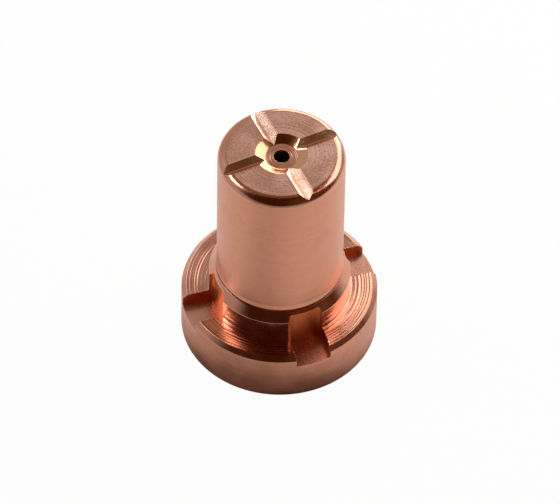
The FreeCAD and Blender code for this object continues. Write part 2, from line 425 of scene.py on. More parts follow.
@dataclass
class Patch:
    """A grid of points, rows along the profile and columns around, of one surface or more."""

    points: np.ndarray
    surface: Surface
    closed: bool = False
    flip: bool = False
    column_surfaces: Optional[Sequence[Surface]] = None


class Skin:
    """Collects patches that share their borders and welds them into one mesh."""

    def __init__(self) -> None:
        """Start with no patches."""
        self.patches: List[Patch] = []

    def add(self, patch: Patch) -> None:
        """Add one patch."""
        self.patches.append(patch)

    def mesh(self, name: str) -> bpy.types.Mesh:
        """Weld the patches into one mesh.

        Args:
            name: Name of the mesh.

        Returns:
            A closed mesh in metres whose faces carry a material number for each surface.
        """
        surfaces = list(Surface)
        corners: List[np.ndarray] = []
        slots: List[np.ndarray] = []
        points: List[np.ndarray] = []
        first = 0
        for patch in self.patches:
            rows, columns, _ = patch.points.shape
            points.append(patch.points.reshape(-1, 3))
            index = first + np.arange(rows * columns).reshape(rows, columns)
            if patch.closed:
                index = np.hstack([index, index[:, :1]])
            quads = np.stack([index[:-1, :-1], index[1:, :-1], index[1:, 1:], index[:-1, 1:]],
                             axis=-1)
            if patch.flip:
                quads = quads[..., ::-1]
            kinds = patch.column_surfaces or [patch.surface] * quads.shape[1]
            slot = np.array([surfaces.index(kind) for kind in kinds])
            corners.append(quads.reshape(-1, 4))
            slots.append(np.broadcast_to(slot, quads.shape[:2]).reshape(-1))
            first += rows * columns
        return self._weld(name, np.concatenate(points), np.concatenate(corners),
                          np.concatenate(slots))

    @staticmethod
    def _weld(name: str, points: np.ndarray, corners: np.ndarray,
              slots: np.ndarray) -> bpy.types.Mesh:
        """Merge equal points, drop the faces that close up, and make the mesh.

        Args:
            name: Name of the mesh.
            points: Points in millimetres.
            corners: Four point numbers for each face.
            slots: Material number of each face.

        Returns:
            The welded mesh.
        """
        keys = np.round(points * WELD_STEPS).astype(np.int64)
        _, kept, new = np.unique(keys, axis=0, return_index=True, return_inverse=True)
        corners = new.reshape(-1)[corners]
        faces: List[List[int]] = []
        kinds: List[int] = []
        for quad, slot in zip(corners.tolist(), slots.tolist()):
            ring = [c for i, c in enumerate(quad) if c != quad[i - 1]]
            if len(ring) > 2 and len(set(ring)) == len(ring):
                faces.append(ring)
                kinds.append(slot)
        mesh = bpy.data.meshes.new(name)
        mesh.from_pydata((points[kept] * MM).tolist(), [], faces)
        mesh.polygons.foreach_set("material_index", kinds)
        mesh.update()
        return mesh


class Shading:
    """Normals and the convex edges' painted highlight and wear, worked out from a finished mesh.
    """

    # Painted highlight and wear on convex edges: how sharply an edge turns before it lightens.
    LIT_WEAR_FROM = 0.03  # one minus the cosine at which an edge starts to shine
    LIT_WEAR_SPAN = 0.12

    @staticmethod
    def dress(mesh: bpy.types.Mesh) -> None:
        """Give the mesh normals weighted by face area, and the painted highlight and wear of its
        convex edges.

        Args:
            mesh: The welded mesh.
        """
        count = len(mesh.vertices)
        centres = np.zeros(len(mesh.polygons) * 3, np.float32)
        normals = np.zeros(len(mesh.polygons) * 3, np.float32)
        areas = np.zeros(len(mesh.polygons), np.float32)
        mesh.polygons.foreach_get("center", centres)
        mesh.polygons.foreach_get("normal", normals)
        mesh.polygons.foreach_get("area", areas)
        centres, normals = centres.reshape(-1, 3), normals.reshape(-1, 3)
        places = np.zeros(count * 3, np.float32)
        mesh.vertices.foreach_get("co", places)
        places = places.reshape(-1, 3)
        totals = np.zeros(len(mesh.polygons), np.int32)
        mesh.polygons.foreach_get("loop_total", totals)
        corner = np.zeros(len(mesh.loops), np.int32)
        mesh.loops.foreach_get("vertex_index", corner)
        face = np.repeat(np.arange(len(mesh.polygons)), totals)

        summed = np.zeros((count, 3))
        np.add.at(summed, corner, normals[face] * areas[face, None])
        summed /= np.maximum(np.linalg.norm(summed, axis=1, keepdims=True), 1e-20)

        turn = 1.0 - np.einsum("ij,ij->i", normals[face], summed[corner])
        turned = np.zeros(count)
        np.maximum.at(turned, corner, turn)
        fall = np.einsum("ij,ij->i", centres[face] - places[corner], summed[corner])
        drop = np.zeros(count)
        np.add.at(drop, corner, fall)
        # Painted highlight and wear: only convex edges lighten.
        lit_wear_share = np.clip((turned - Shading.LIT_WEAR_FROM) / Shading.LIT_WEAR_SPAN, 0.0, 1.0)
        lit_wear_share *= drop < 0

        layer = mesh.attributes.new("edge_light_and_wear", "FLOAT", "POINT")
        layer.data.foreach_set("value", lit_wear_share.astype(np.float32))
        mesh.polygons.foreach_set("use_smooth", [True] * len(mesh.polygons))
        mesh.normals_split_custom_set_from_vertices(summed.tolist())


@dataclass(frozen=True)
class Scallops:
    """Marks of a round-nosed tool fed across a faced surface."""

    pitch: float
    height: float
    unevenness: float = 0.3
    seed: int = 1
    crest: float = 0.5
    points_each: int = 6

    def lay_out(self, length: float) -> Tuple[np.ndarray, np.ndarray]:
        """Places and depths of the mesh rings that carry the scallops.

        Args:
            length: Length of the surface along its profile.

        Returns:
            Distances from the start, and how deep the metal is cut at each.
        """
        rng = np.random.default_rng(self.seed)
        borders = [0.0]
        while borders[-1] < length:
            borders.append(borders[-1] + self.pitch * (1 + self.unevenness * rng.uniform(-1, 1)))
        borders = np.array(borders) * length / borders[-1]
        share = np.linspace(0.0, 1.0, self.points_each)[:-1]
        share = np.sort(np.append(share, self.crest))
        places, depths = [], []
        for start, end in zip(borders[:-1], borders[1:]):
            depth = self.height * (1 + self.unevenness * rng.uniform(-1, 1))
            depth *= (end - start) / self.pitch
            places.extend(start + share * (end - start))
            depths.extend(depth * np.interp(share, *self._shape()))
        return np.array(places[1:]), np.array(depths[1:])

    def _shape(self) -> Tuple[np.ndarray, np.ndarray]:
        """Work out the depth across one scallop, deepest at its crest share.

        Returns:
            Shares of the scallop's width, and the depth at each from nought to one.
        """
        share = np.linspace(0.0, 1.0, 25)
        bent = np.where(share < self.crest, share / (2 * self.crest),
                        0.5 + (share - self.crest) / (2 * (1 - self.crest)))
        return share, 1 - (2 * bent - 1) ** 2


@dataclass(frozen=True)
class Run:
    """A straight or round stretch of the turned profile, from its start to the next run."""

    start: Point2
    surface: Surface
    steps: int = 1
    centre: Optional[Point2] = None
    marks: Optional[Scallops] = None
    edge: float = 0.03


class Profile:
    """The turned profile as mesh rings: every corner rounded, every mark cut."""

    CORNER_SHARE = 0.3  # most of a run that the round of its corner may take
    CLEAR_EDGES = 1.6  # edge widths at a corner that stay free of other rings

    def __init__(self, runs: Sequence[Run], end: Point2) -> None:
        """Lay out the rings of all runs.

        Args:
            runs: The stretches in order.
            end: Where the last one ends.
        """
        self.rings: List[Tuple[float, float, Surface]] = []
        corners = [np.array(run.start) for run in runs] + [np.array(end)]
        for number, run in enumerate(runs):
            a, b = corners[number], corners[number + 1]
            smooth_before = number == 0 or self._flows(runs, number)
            smooth_after = number + 1 == len(runs) or self._flows(runs, number + 1)
            if smooth_before:
                self._ring(a, run.surface)
            else:
                self._round_corner(runs, corners, number)
            self._fill(run, a, b, smooth_before, smooth_after)
        self._ring(corners[-1], runs[-1].surface)

    @staticmethod
    def _flows(runs: Sequence[Run], number: int) -> bool:
        """Whether two runs meet without a corner, as a round does with its neighbours."""
        return runs[number].centre is not None or runs[number - 1].centre is not None

    def _ring(self, point: Sequence[float], surface: Surface) -> None:
        """Add one ring; its surface is that of the faces after it."""
        self.rings.append((float(point[0]), float(point[1]), surface))

    def _round_corner(self, runs: Sequence[Run], corners: List[np.ndarray], number: int) -> None:
        """Round a corner with three rings.

        Args:
            runs: All runs.
            corners: All corners.
            number: Which corner.
        """
        run, corner = runs[number], corners[number]
        before = self._towards(corner, corners[number - 1], run.edge)
        after = self._towards(corner, corners[number + 1], run.edge)
        self._ring(before, runs[number - 1].surface)
        self._ring(0.25 * before + 0.5 * corner + 0.25 * after, run.surface)
        self._ring(after, run.surface)

    @staticmethod
    def _towards(corner: np.ndarray, other: np.ndarray, distance: float) -> np.ndarray:
        """Find the point at a distance from a corner towards its neighbour.

        Args:
            corner: The corner.
            other: Its neighbour.
            distance: How far; at most a share of the way.

        Returns:
            The point.
        """
        way = other - corner
        length = np.linalg.norm(way)
        return corner + way * min(distance / length, Profile.CORNER_SHARE)

    def _fill(self, run: Run, a: np.ndarray, b: np.ndarray, whole_start: bool,
              whole_end: bool) -> None:
        """Add the rings inside one run.

        Args:
            run: The run.
            a: Its start.
            b: Its end.
            whole_start: Whether it starts at the corner itself.
            whole_end: Whether it ends at the corner itself.
        """
        length = float(np.linalg.norm(b - a))
        if run.centre is not None:
            centre = np.array(run.centre)
            first = math.atan2(*(a - centre)[::-1])
            last = math.atan2(*(b - centre)[::-1])
            size = float(np.linalg.norm(a - centre))
            sweep = (last - first + math.pi) % (2 * math.pi) - math.pi
            for i in range(1, run.steps):
                angle = first + sweep * i / run.steps
                self._ring(centre + size * np.array([math.cos(angle), math.sin(angle)]),
                           run.surface)
            return
        if run.marks is not None:
            places, depths = run.marks.lay_out(length)
        else:
            places = np.linspace(0, length, run.steps + 1)[1:-1]
            depths = np.zeros_like(places)
        way = (b - a) / length
        inward = np.array([way[1], -way[0]])
        margin = run.edge * self.CLEAR_EDGES
        for place, depth in zip(places, depths):
            if place < (0 if whole_start else margin):
                continue
            if place > length - (0 if whole_end else margin):
                continue
            self._ring(a + way * place + inward * depth, run.surface)


# ----------------------------------------------------------------------------- nozzle

@dataclass
class TorchNozzle:
    """The nozzle: sizes in millimetres as the maker would turn and mill them."""

    flange_radius: float = 7.75
    flange_top: float = 4.55
    rim_chamfer: float = 0.35
    foot_radius: float = 0.25
    collar_radius: float = 5.6
    shoulder_edge: float = 6.40
    shoulder_top: float = 7.20
    shoulder_top_radius: float = 5.05
    relief_radius: float = 4.80
    relief_width: float = 0.20
    lip_radius: float = 5.04
    lip_height: float = 0.35
    barrel_radius: float = 4.98
    nose_round: float = 0.72
    height: float = 20.4
    dish_mouth_radius: float = 2.05
    dish_floor_radius: float = 1.30
    dish_depth: float = 0.35
    orifice_radius: float = 0.635
    nose_wall: float = 2.6
    chamber_radius: float = 3.7
    chamber_cone: float = 118.0
    chamber_lead: float = 0.35
    seat_radius: float = 5.75
    seat_depth: float = 2.2
    seat_lead: float = 0.3
    groove_depth: float = 0.33
    groove_angle: float = 116.0
    groove_azimuth: float = 26.5
    groove_offset: float = 0.2
    slot_width: float = 2.87
    slot_offset: float = 0.52
    slot_depth: float = 1.0
    slot_end_radius: float = 5.25
    slot_corner: float = 0.35
    slot_azimuth: float = 17.6
    edge: float = 0.03
    groove_burr: float = 0.014
    slot_burr: float = 0.022
    raggedness: float = 0.035
    quadrants: int = 4
    land_columns: int = 48
    slot_columns: int = 17
    slot_lead_columns: int = 11
    settled_length: float = 2.0
    wall_shares: Tuple[float, ...] = (0.95, 0.84, 0.66, 0.46, 0.26, 0.09, 0.0)
    skin: Skin = field(default_factory=Skin)

    # ---- places that several methods share

    @property
    def face_level(self) -> float:
        """Height of the nose face, just beneath the grooves' burrs."""
        return self.height - self.groove_burr

    @property
    def slot_floor(self) -> float:
        """Height of the gas slots' floor."""
        return self.flange_top - self.slot_depth

    def _cone_height(self, radius: float) -> float:
        """Height of the collar's conical shoulder at one radius.

        Args:
            radius: Distance from the axis.

        Returns:
            The height.
        """
        share = (radius - self.shoulder_top_radius) / (self.collar_radius
                                                       - self.shoulder_top_radius)
        return self.shoulder_top + share * (self.shoulder_edge - self.shoulder_top)

    # ---- directions of the mesh columns

    def _slot_bounds(self, radius: float) -> Tuple[float, float]:
        """Directions of a slot's two walls at one radius, from the slot's own direction.

        Args:
            radius: Distance from the axis.

        Returns:
            The near and the far wall's angle in radians.
        """
        reach = self.slot_end_radius + self.slot_corner
        angles = []
        for sign in (-1, 1):
            side = self.slot_offset + sign * self.slot_width / 2
            centre_y = side - sign * self.slot_corner
            centre_x = math.sqrt(reach ** 2 - centre_y ** 2)
            if radius < math.hypot(centre_x, side):
                r = max(radius, self.slot_end_radius)
                cosine = (r ** 2 + reach ** 2 - self.slot_corner ** 2) / (2 * r * reach)
                swing = math.acos(min(1.0, cosine))
                angles.append(math.atan2(centre_y, centre_x) + sign * swing)
            else:
                angles.append(math.asin(side / radius))
        return angles[0], angles[1]

    def _lower_angles(self, radius: float) -> np.ndarray:
        """Directions of all columns at one radius of the flange.

        Args:
            radius: Distance from the axis.

        Returns:
            Angles in radians; each quadrant starts at its slot's near wall.
        """
        near, far = self._slot_bounds(radius)
        step = 2 * math.pi / self.quadrants
        strip = self.edge / radius
        angles: List[float] = []
        for quadrant in range(self.quadrants):
            base = math.radians(self.slot_azimuth) + step * quadrant
            angles.extend(self._spread(base + near, base + far, self.slot_columns, strip))
            angles.extend(self._spread(base + far, base + step + near,
                                       self.land_columns - self.slot_columns, strip))
        return np.array(angles)

    @staticmethod
    def _spread(start: float, end: float, count: int, strip: float) -> List[float]:
        """Spread columns from start towards end, with two thin strips at both borders.

        Args:
            start: Direction of the first column.
            end: Direction where the next stretch starts.
            count: Number of columns.
            strip: Width of a thin strip.

        Returns:
            The directions, start first.
        """
        inner = np.linspace(start + 3 * strip, end - 3 * strip, count - 3)
        return [start, start + strip, *inner.tolist(), end - strip]

    def _arm_directions(self) -> List[Tuple[float, float]]:
        """Lay out the four groove arms.

        Returns:
            Direction and sideways offset of each.
        """
        first = math.radians(self.groove_azimuth)
        offsets = (self.groove_offset, 0.0, -self.groove_offset, 0.0)
        return [(first + math.pi / 2 * k, offset) for k, offset in enumerate(offsets)]

    def _tip_angles(self, radius: float) -> np.ndarray:
        """Directions of all columns where the grooves have closed up.

        Args:
            radius: Distance from the axis.

        Returns:
            Angles in radians, in the order of the flange's columns.
        """
        tips = [direction + math.asin(offset / radius)
                for direction, offset in self._arm_directions()]
        tips.append(tips[0] + 2 * math.pi)
        angles: List[float] = []
        for start, end in zip(tips[:-1], tips[1:]):
            angles.extend(np.linspace(start, end, self.land_columns + 1)[:-1].tolist())
        return np.roll(np.array(angles), self.slot_lead_columns)

    @staticmethod
    def _blend(upper: np.ndarray, lower: np.ndarray, share: float) -> np.ndarray:
        """Turn the columns gradually from one layout to the other.

        Args:
            upper: Directions at share nought.
            lower: Directions at share one.
            share: How far the turn has come.

        Returns:
            The directions in between.
        """
        turn = (lower - upper + math.pi) % (2 * math.pi) - math.pi
        return upper + share * share * (3 - 2 * share) * turn

    # ---- the profile in stretches

    def _crown_profile(self) -> Profile:
        """Rings from the orifice's mouth over the face and down the nose round.

        Returns:
            The profile.
        """
        top = self.face_level
        floor = top - self.dish_depth
        flat = self.barrel_radius - self.nose_round
        return Profile([
            Run((self.orifice_radius, floor), Surface.DISH_FLOOR, edge=0.02,
                marks=Scallops(0.15, 0.009, 0.25, seed=12, crest=0.7)),
            Run((self.dish_floor_radius, floor), Surface.DISH, 8),
            Run((self.dish_mouth_radius, top), Surface.FACE,
                marks=Scallops(0.17, 0.0022, 0.5, seed=4, points_each=4)),
            Run((flat, top), Surface.NOSE_ROUND, 16, centre=(flat, top - self.nose_round)),
        ], (self.barrel_radius, top - self.nose_round))

    def _barrel_profile(self) -> Profile:
        """Rings down the barrel, over lip, relief and shoulder to the slots' end wall.

        Returns:
            The profile.
        """
        lip_bottom = self.shoulder_top + self.relief_width
        return Profile([
            Run((self.barrel_radius, self.face_level - self.nose_round), Surface.BARREL, 24),
            Run((self.barrel_radius, lip_bottom + self.lip_height), Surface.BARREL, 5),
            Run((self.lip_radius, lip_bottom), Surface.COLLAR, 2, edge=0.02),
            Run((self.relief_radius, lip_bottom), Surface.COLLAR, 2, edge=0.02),
            Run((self.relief_radius, self.shoulder_top), Surface.COLLAR, 2, edge=0.02),
            Run((self.shoulder_top_radius, self.shoulder_top), Surface.COLLAR, 4, edge=0.02),
        ], (self.slot_end_radius, self._cone_height(self.slot_end_radius)))

    def _land_profile(self) -> Profile:
        """Rings from the collar's edge over the flange top to the foot of its chamfer.

        Returns:
            The profile.
        """
        last_cone = self._cone_radii()[-1]
        return Profile([
            Run((last_cone, self._cone_height(last_cone)), Surface.COLLAR, 1),
            Run((self.collar_radius, self.shoulder_edge), Surface.COLLAR,
                marks=Scallops(0.24, 0.004, 0.5, seed=9, points_each=4)),
            Run((self.collar_radius, self.flange_top), Surface.FLANGE_TOP,
                marks=Scallops(0.27, 0.015, 0.4, seed=5, crest=0.78)),
            Run((self.flange_radius - self.rim_chamfer, self.flange_top), Surface.FLANGE_RIM, 3),
            Run((self.flange_radius, self.flange_top - self.rim_chamfer), Surface.FLANGE_WALL),
        ], (self.flange_radius, self.slot_floor))

    def _cone_radii(self) -> List[float]:
        """Radii of the shoulder's rings, close together where the slots' corners turn.

        Returns:
            The radii, from the slots' end wall outwards.
        """
        reach = self.slot_end_radius + self.slot_corner
        corner = self.slot_corner
        limit = math.acos((reach ** 2 + corner ** 2 - self.collar_radius ** 2)
                          / (2 * reach * corner))
        return [math.sqrt(reach ** 2 + corner ** 2
                          - 2 * reach * corner * math.cos(limit * share))
                for share in np.linspace(0.0, 1.0, 7)[:-1]]

    # ---- building

    def _add_rows(self, rows: Sequence[np.ndarray], surfaces: Sequence[Surface],
                  closed: bool = False,
                  columns: Optional[Callable[[Surface], List[Surface]]] = None) -> None:
        """Add rows of points as patches of one surface each.

        Args:
            rows: The rows, in the order of the profile.
            surfaces: The surface after each row.
            closed: Whether the last column joins the first.
            columns: Gives the surface of every column where they differ.
        """
        start = 0
        for i in range(1, len(rows)):
            if i == len(rows) - 1 or surfaces[i] is not surfaces[start]:
                kind = surfaces[start]
                kinds = columns(kind) if columns else None
                self.skin.add(Patch(np.array(rows[start:i + 1]), kind, closed,
                                    column_surfaces=kinds))
                start = i

    def _revolve(self, rings: Sequence[Tuple[float, float, Surface]],
                 angles: Callable[[float, float], np.ndarray]) -> None:
        """Add full turns of skin, split where the surface changes.

        Args:
            rings: Radius, height and surface of each ring.
            angles: Gives the columns' directions for a radius and height.
        """
        rows = []
        for radius, height, _ in rings:
            turn = angles(radius, height)
            rows.append(np.stack([radius * np.cos(turn), radius * np.sin(turn),
                                  np.full_like(turn, height)], axis=-1))
        self._add_rows(rows, [ring[2] for ring in rings], closed=True)

    def build_crown(self) -> None:
        """Face, dish and nose round with the V grooves cut across them."""
        rings = self._crown_profile().rings
        rows = [self._crown_row(radius, height) for radius, height, _ in rings]
        groove = (len(rows[0]) - self.quadrants * (self.land_columns - 1)) // self.quadrants
        self._add_rows(rows, [ring[2] for ring in rings], closed=True, columns=lambda kind: (
            [kind] + [Surface.GROOVE] * (groove - 3) + [kind] * (self.land_columns + 1)
            ) * self.quadrants)

    def _crown_row(self, radius: float, height: float) -> np.ndarray:
        """One ring of the nose with the four groove arms across it.

        Args:
            radius: Distance from the axis.
            height: Height of the metal between the grooves.

        Returns:
            The ring's points.
        """
        slope = math.tan(math.radians(self.groove_angle / 2))
        root = self.face_level - self.groove_depth
        width = max(0.0, (height - root) * slope)
        strip = min(self.edge, width * 0.4)
        shares = np.array([-1.0, -0.72, -0.45, -0.2, -0.06, 0.0, 0.06, 0.2, 0.45, 0.72, 1.0])
        outer = width + strip * np.array([2.6, 0.7, 0.0])
        across = np.concatenate([-outer, shares * (width - strip), outer[::-1]])
        burr = self.groove_burr * strip / self.edge
        raised = burr * np.array([0.0, 1.0, 0.3] + [0.0] * len(shares) + [0.3, 1.0, 0.0])
        level = np.minimum(root + np.abs(across) / slope, height) + raised
        arms = [direction + np.arcsin(np.clip((offset + across) / radius, -1.0, 1.0))
                for direction, offset in self._arm_directions()]
        turns: List[float] = []
        levels: List[float] = []
        for number, arm in enumerate(arms):
            following = arms[(number + 1) % len(arms)][0]
            following += 2 * math.pi * (number + 1 == len(arms))
            land = np.linspace(arm[-1], following, self.land_columns + 1)[1:-1]
            turns.extend([*arm, *land])
            levels.extend([*level, *([height] * len(land))])
        turn = np.array(turns)
        return np.stack([radius * np.cos(turn), radius * np.sin(turn), levels], axis=-1)

    def build_barrel(self) -> None:
        """Barrel, flared lip, relief and the top of the shoulder."""
        top = self.face_level - self.nose_round
        bottom = self.shoulder_top + self.settled_length

        def angles(_: float, height: float) -> np.ndarray:
            """Directions that follow the grooves above and the slots below.

            Args:
                _: Distance from the axis, which makes no difference here.
                height: Height of the ring.

            Returns:
                Angles in radians.
            """
            share = min(1.0, max(0.0, (top - height) / (top - bottom)))
            return self._blend(self._tip_angles(self.barrel_radius),
                               self._lower_angles(self.slot_end_radius), share)

        self._revolve(self._barrel_profile().rings, angles)

    def build_flange(self) -> None:
        """Collar, flange top and rim between the slots, and the slots themselves."""
        rings = [(radius, self._cone_height(radius), Surface.COLLAR)
                 for radius in self._cone_radii()]
        inner = len(rings)
        rings += self._land_profile().rings[1:-1]
        outer = next(i for i, ring in enumerate(rings) if ring[0] >= self.flange_radius - 1e-9)
        brink = rings[outer][1] - self.slot_floor
        rings = rings[:outer + 1] + [
            (self.flange_radius, self.slot_floor + brink * share, Surface.FLANGE_WALL)
            for share in self.wall_shares]
        foot = max(i for i, ring in enumerate(rings[:outer])
                   if ring[0] < self.collar_radius + self.edge * 0.5)
        rows = [self._ragged_row(radius, height, kind) for radius, height, kind in rings]
        kinds = [ring[2] for ring in rings]
        plan = [ring[0] for ring in rings[:inner] + rings[foot:outer + 1]]
        floor = [self._plain_row(radius, self.slot_floor) for radius in plan]
        for quadrant in range(self.quadrants):
            near = quadrant * self.land_columns
            far = near + self.slot_columns
            land = np.arange(far, near + self.land_columns + 1) % rows[0].shape[0]
            self._add_rows([row[land] for row in rows], kinds)
            self._add_slot(rows, floor, np.arange(near, far + 1), inner, foot, outer)

    def _plain_row(self, radius: float, height: float) -> np.ndarray:
        """One ring of points in the flange's column layout.

        Args:
            radius: Distance from the axis.
            height: Height of the ring.

        Returns:
            The ring's points.
        """
        turn = self._lower_angles(radius)
        return np.stack([radius * np.cos(turn), radius * np.sin(turn),
                         np.full_like(turn, height)], axis=-1)

    def _ragged_row(self, radius: float, height: float, kind: Surface) -> np.ndarray:
        """A ring whose slot edges are torn and raised a little, as a cutter leaves them.

        Args:
            radius: Distance from the axis.
            height: Height of the ring.
            kind: Its surface.

        Returns:
            The ring's points.
        """
        turn = self._lower_angles(radius)
        level = np.full_like(turn, height)
        fade = min(1.0, (height - self.slot_floor) / self.slot_depth,
                   (radius - self.slot_end_radius) / self.slot_corner * 2)
        lift = self.slot_burr * (kind is Surface.FLANGE_TOP)
        for quadrant in range(self.quadrants):
            for side, column in enumerate((0, self.slot_columns)):
                column += quadrant * self.land_columns
                tear, height_share = self._tear(2 * quadrant + side, radius - height)
                strip = np.array([column - 1, column, column + 1]) % len(turn)
                turn[strip] += fade * self.raggedness * tear / radius
                level[column] += lift * height_share
                level[strip[0 if side == 0 else 2]] += 0.7 * lift * height_share
        return np.stack([radius * np.cos(turn), radius * np.sin(turn), level], axis=-1)

    @staticmethod
    def _tear(side: int, path: float) -> Tuple[float, float]:
        """How an edge is torn at one place.

        Args:
            side: Number of the edge.
            path: Way along the profile.

        Returns:
            Sideways shift from minus one to one, and height of the burr from nought to one.
        """
        rng = np.random.default_rng(40 + side)
        knots = np.arange(-3.0, 5.0, 0.13)
        coarse = rng.uniform(-1.0, 1.0, (2, len(knots)))
        shift, burr = (float(np.interp(path, knots, values)) for values in coarse)
        return shift ** 3 + 0.4 * shift, abs(burr)

    def _add_slot(self, rows: Sequence[np.ndarray], floor: Sequence[np.ndarray],
                  columns: np.ndarray, inner: int, foot: int, outer: int) -> None:
        """Add floor, end wall and side walls of one slot.

        Args:
            rows: The land's rings.
            floor: The floor's rings, beneath the shoulder's and then the flange top's.
            columns: The slot's columns.
            inner: Number of rings on the shoulder.
            foot: Number of the ring at the collar's foot.
            outer: Number of the ring at the chamfer's foot.
        """
        columns = columns % rows[0].shape[0]
        self.skin.add(Patch(np.array([row[columns] for row in floor]), Surface.SLOT_FLOOR))
        upper = [(rows[i][0, 2] - self.slot_floor) / (rows[inner][0, 2] - self.slot_floor)
                 for i in range(inner, foot + 1)]
        shares = [1.0, *upper[1:], *(upper[-1] * share for share in self.wall_shares)]
        top, bottom = rows[0][columns], floor[0][columns]
        end = [bottom + (top - bottom) * share for share in shares]
        self.skin.add(Patch(np.array(end), Surface.SLOT_WALL))
        for side, flip in ((columns[0], True), (columns[-1], False)):
            self._add_side([row[side] for row in rows], [row[side] for row in floor],
                           shares, inner, foot, outer, flip)

    def _add_side(self, border: Sequence[np.ndarray], base: Sequence[np.ndarray],
                  shares: Sequence[float], inner: int, foot: int, outer: int,
                  flip: bool) -> None:
        """Add one side wall of a slot: the part through the collar, then the part outside it.

        Args:
            border: The land's edge above the wall.
            base: The floor's edge beneath it.
            shares: Heights of the end wall's rows, as shares of its own height.
            inner: Number of rings on the shoulder.
            foot: Number of the ring at the collar's foot.
            outer: Number of the ring at the chamfer's foot.
            flip: Whether the wall faces the other way.
        """
        through = [[below + (above - below) * share for share in shares]
                   for above, below in zip(border[:inner], base[:inner])]
        depth = [base[inner] + (border[foot] - base[inner]) * share for share in self.wall_shares]
        through.append([*border[inner:foot + 1], *depth])
        outside = [[border[i], *(below + (border[i] - below) * share
                                 for share in self.wall_shares)]
                   for i, below in zip(range(foot, outer + 1), base[inner:])]
        outside[-1] = border[outer:]
        for grid in (through, outside):
            points = np.swapaxes(np.array(grid), 0, 1)
            self.skin.add(Patch(points, Surface.SLOT_WALL, flip=flip))

    def build_foot_and_bores(self) -> None:
        """Flange wall below the slots, foot, seat face, bores and the orifice."""
        slope = math.tan(math.radians(self.chamber_cone / 2))
        orifice_inner = self.height - self.nose_wall
        cone_foot = orifice_inner - (self.chamber_radius - self.orifice_radius) / slope
        foot = self.foot_radius
        rings = Profile([
            Run((self.flange_radius, self.slot_floor), Surface.FLANGE_WALL,
                marks=Scallops(0.21, 0.0035, 0.5, seed=21, points_each=4)),
            Run((self.flange_radius, foot), Surface.FLANGE_WALL, 6,
                centre=(self.flange_radius - foot, foot)),
            Run((self.flange_radius - foot, 0.0), Surface.SEAT, 1,
                marks=Scallops(0.2, 0.004, 0.3, seed=3, points_each=4)),
            Run((self.seat_radius + self.seat_lead, 0.0), Surface.BORE, 2),
            Run((self.seat_radius, self.seat_lead), Surface.BORE, 8),
            Run((self.seat_radius, self.seat_depth), Surface.SEAT,
                marks=Scallops(0.2, 0.004, 0.3, seed=2, points_each=4)),
            Run((self.chamber_radius + self.chamber_lead, self.seat_depth), Surface.BORE, 2),
            Run((self.chamber_radius, self.seat_depth + self.chamber_lead), Surface.BORE, 8),
            Run((self.chamber_radius, cone_foot), Surface.BORE, 6),
            Run((self.orifice_radius, orifice_inner), Surface.BORE, 6),
        ], (self.orifice_radius, self.face_level - self.dish_depth)).rings

        def angles(radius: float, _: float) -> np.ndarray:
            """Directions that follow the slots outside and the grooves in the orifice.

            Args:
                radius: Distance from the axis.
                _: Height of the ring, which makes no difference here.

            Returns:
                Angles in radians.
            """
            share = (radius - self.chamber_radius) / (self.seat_radius - self.chamber_radius)
            return self._blend(self._tip_angles(self.orifice_radius),
                               self._lower_angles(self.flange_radius),
                               min(1.0, max(0.0, share)))

        self._revolve(rings, angles)

    def build(self) -> bpy.types.Object:
        """Build the whole nozzle.

        Returns:
            The finished object, in place in the frame.
        """
        self.build_crown()
        self.build_barrel()
        self.build_flange()
        self.build_foot_and_bores()
        mesh = self.skin.mesh("nozzle_copper")
        for surface in Surface:
            mesh.materials.append(FINISHES[surface].material())
        Shading.dress(mesh)
        piece = bpy.data.objects.new("nozzle_copper", mesh)
        bpy.context.scene.collection.objects.link(piece)
        return piece


# ------------------------------------------------------------------------------ studio

@dataclass(frozen=True)
class Glow:
    """A soft bright or dark field of the studio around the nozzle."""

    towards: Colour
    inner_deg: float
    outer_deg: float
    colour: Colour


@dataclass(frozen=True)
class Softbox:
    """A softbox that lights the nozzle and shows in its metal."""

    name: str
    towards: Colour
    distance: float
    width: float
    height: float
    radiance: float
    colour: Colour = (1.0, 0.97, 0.94)
    turn_deg: float = 0.0
    seen_in_metal: bool = True

    def build(self, aim: Vector) -> bpy.types.Object:
        """Set the softbox up.

        Args:
            aim: Where it points, in metres.

        Returns:
            The lamp.
        """
        data = bpy.data.lights.new(self.name, "AREA")
        data.shape = "RECTANGLE"
        data.size, data.size_y = self.width * MM, self.height * MM
        data.energy = self.radiance * math.pi * data.size * data.size_y
        data.color = self.colour
        lamp = bpy.data.objects.new(self.name, data)
        bpy.context.scene.collection.objects.link(lamp)
        away = Vector(self.towards).normalized()
        lamp.location = aim + away * self.distance * MM
        facing = (-away).to_track_quat("-Z", "Y").to_matrix()
        turn = Matrix.Rotation(math.radians(self.turn_deg), 3, "Z")
        lamp.rotation_euler = (facing @ turn).to_euler()
        lamp.visible_camera = False
        lamp.visible_glossy = self.seen_in_metal
        return lamp


